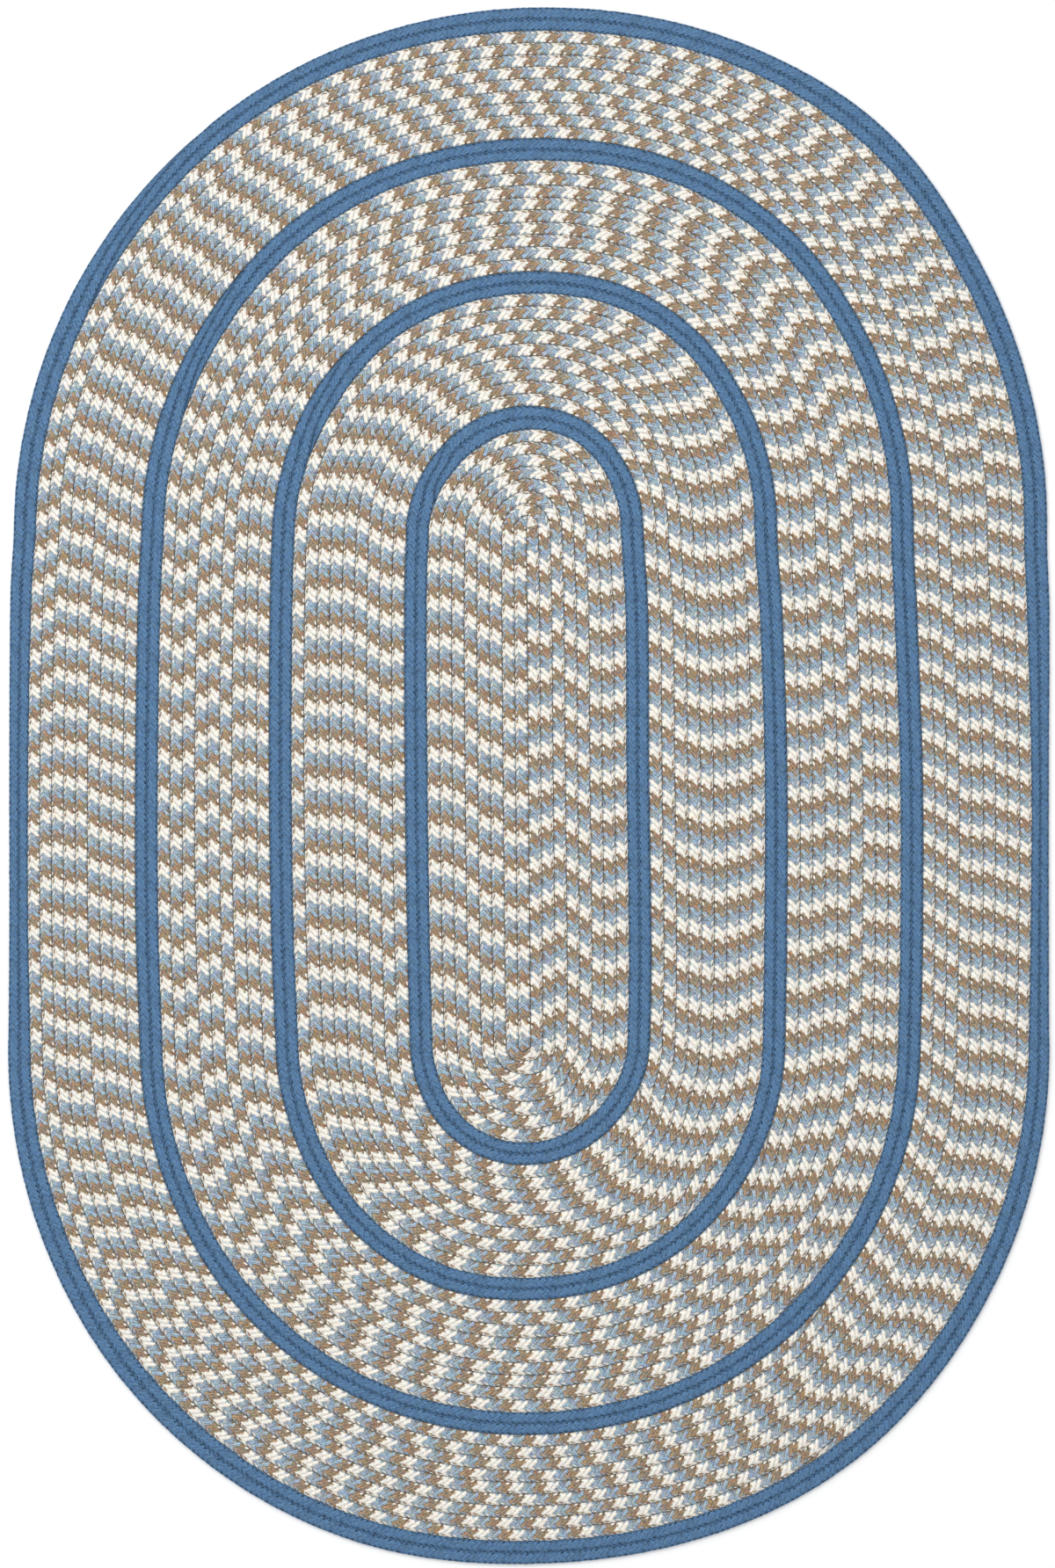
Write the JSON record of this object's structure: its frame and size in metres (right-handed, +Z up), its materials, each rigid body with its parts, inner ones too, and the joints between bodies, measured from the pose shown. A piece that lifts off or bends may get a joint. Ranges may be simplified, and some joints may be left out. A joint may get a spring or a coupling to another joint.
{
  "type": "braided rug",
  "caption": "Flat oval braided rug, its rounds of tan, light blue and cream braid set between plain denim blue rings and edged with a blue border.",
  "frame": {"origin": "under the middle of the rug, on the surface it lies on", "axes": "+Z up through the rug's thickness, +Y along its length, +X across it"},
  "size_m": [1.8311, 2.7375, 0.009],
  "materials": {
    "mixed_braid": "matt spun yarn, braided flat in tan, heathered light blue and cream",
    "blue_braid": "matt spun yarn, braided flat in plain denim blue"
  },
  "bodies": {
    "root": {"centre_oval": "mixed_braid", "inner_ring": "blue_braid", "inner_band": "mixed_braid", "middle_ring": "blue_braid", "middle_band": "mixed_braid", "outer_ring": "blue_braid", "outer_band": "mixed_braid", "border": "blue_braid"}
  },
  "joints": []
}
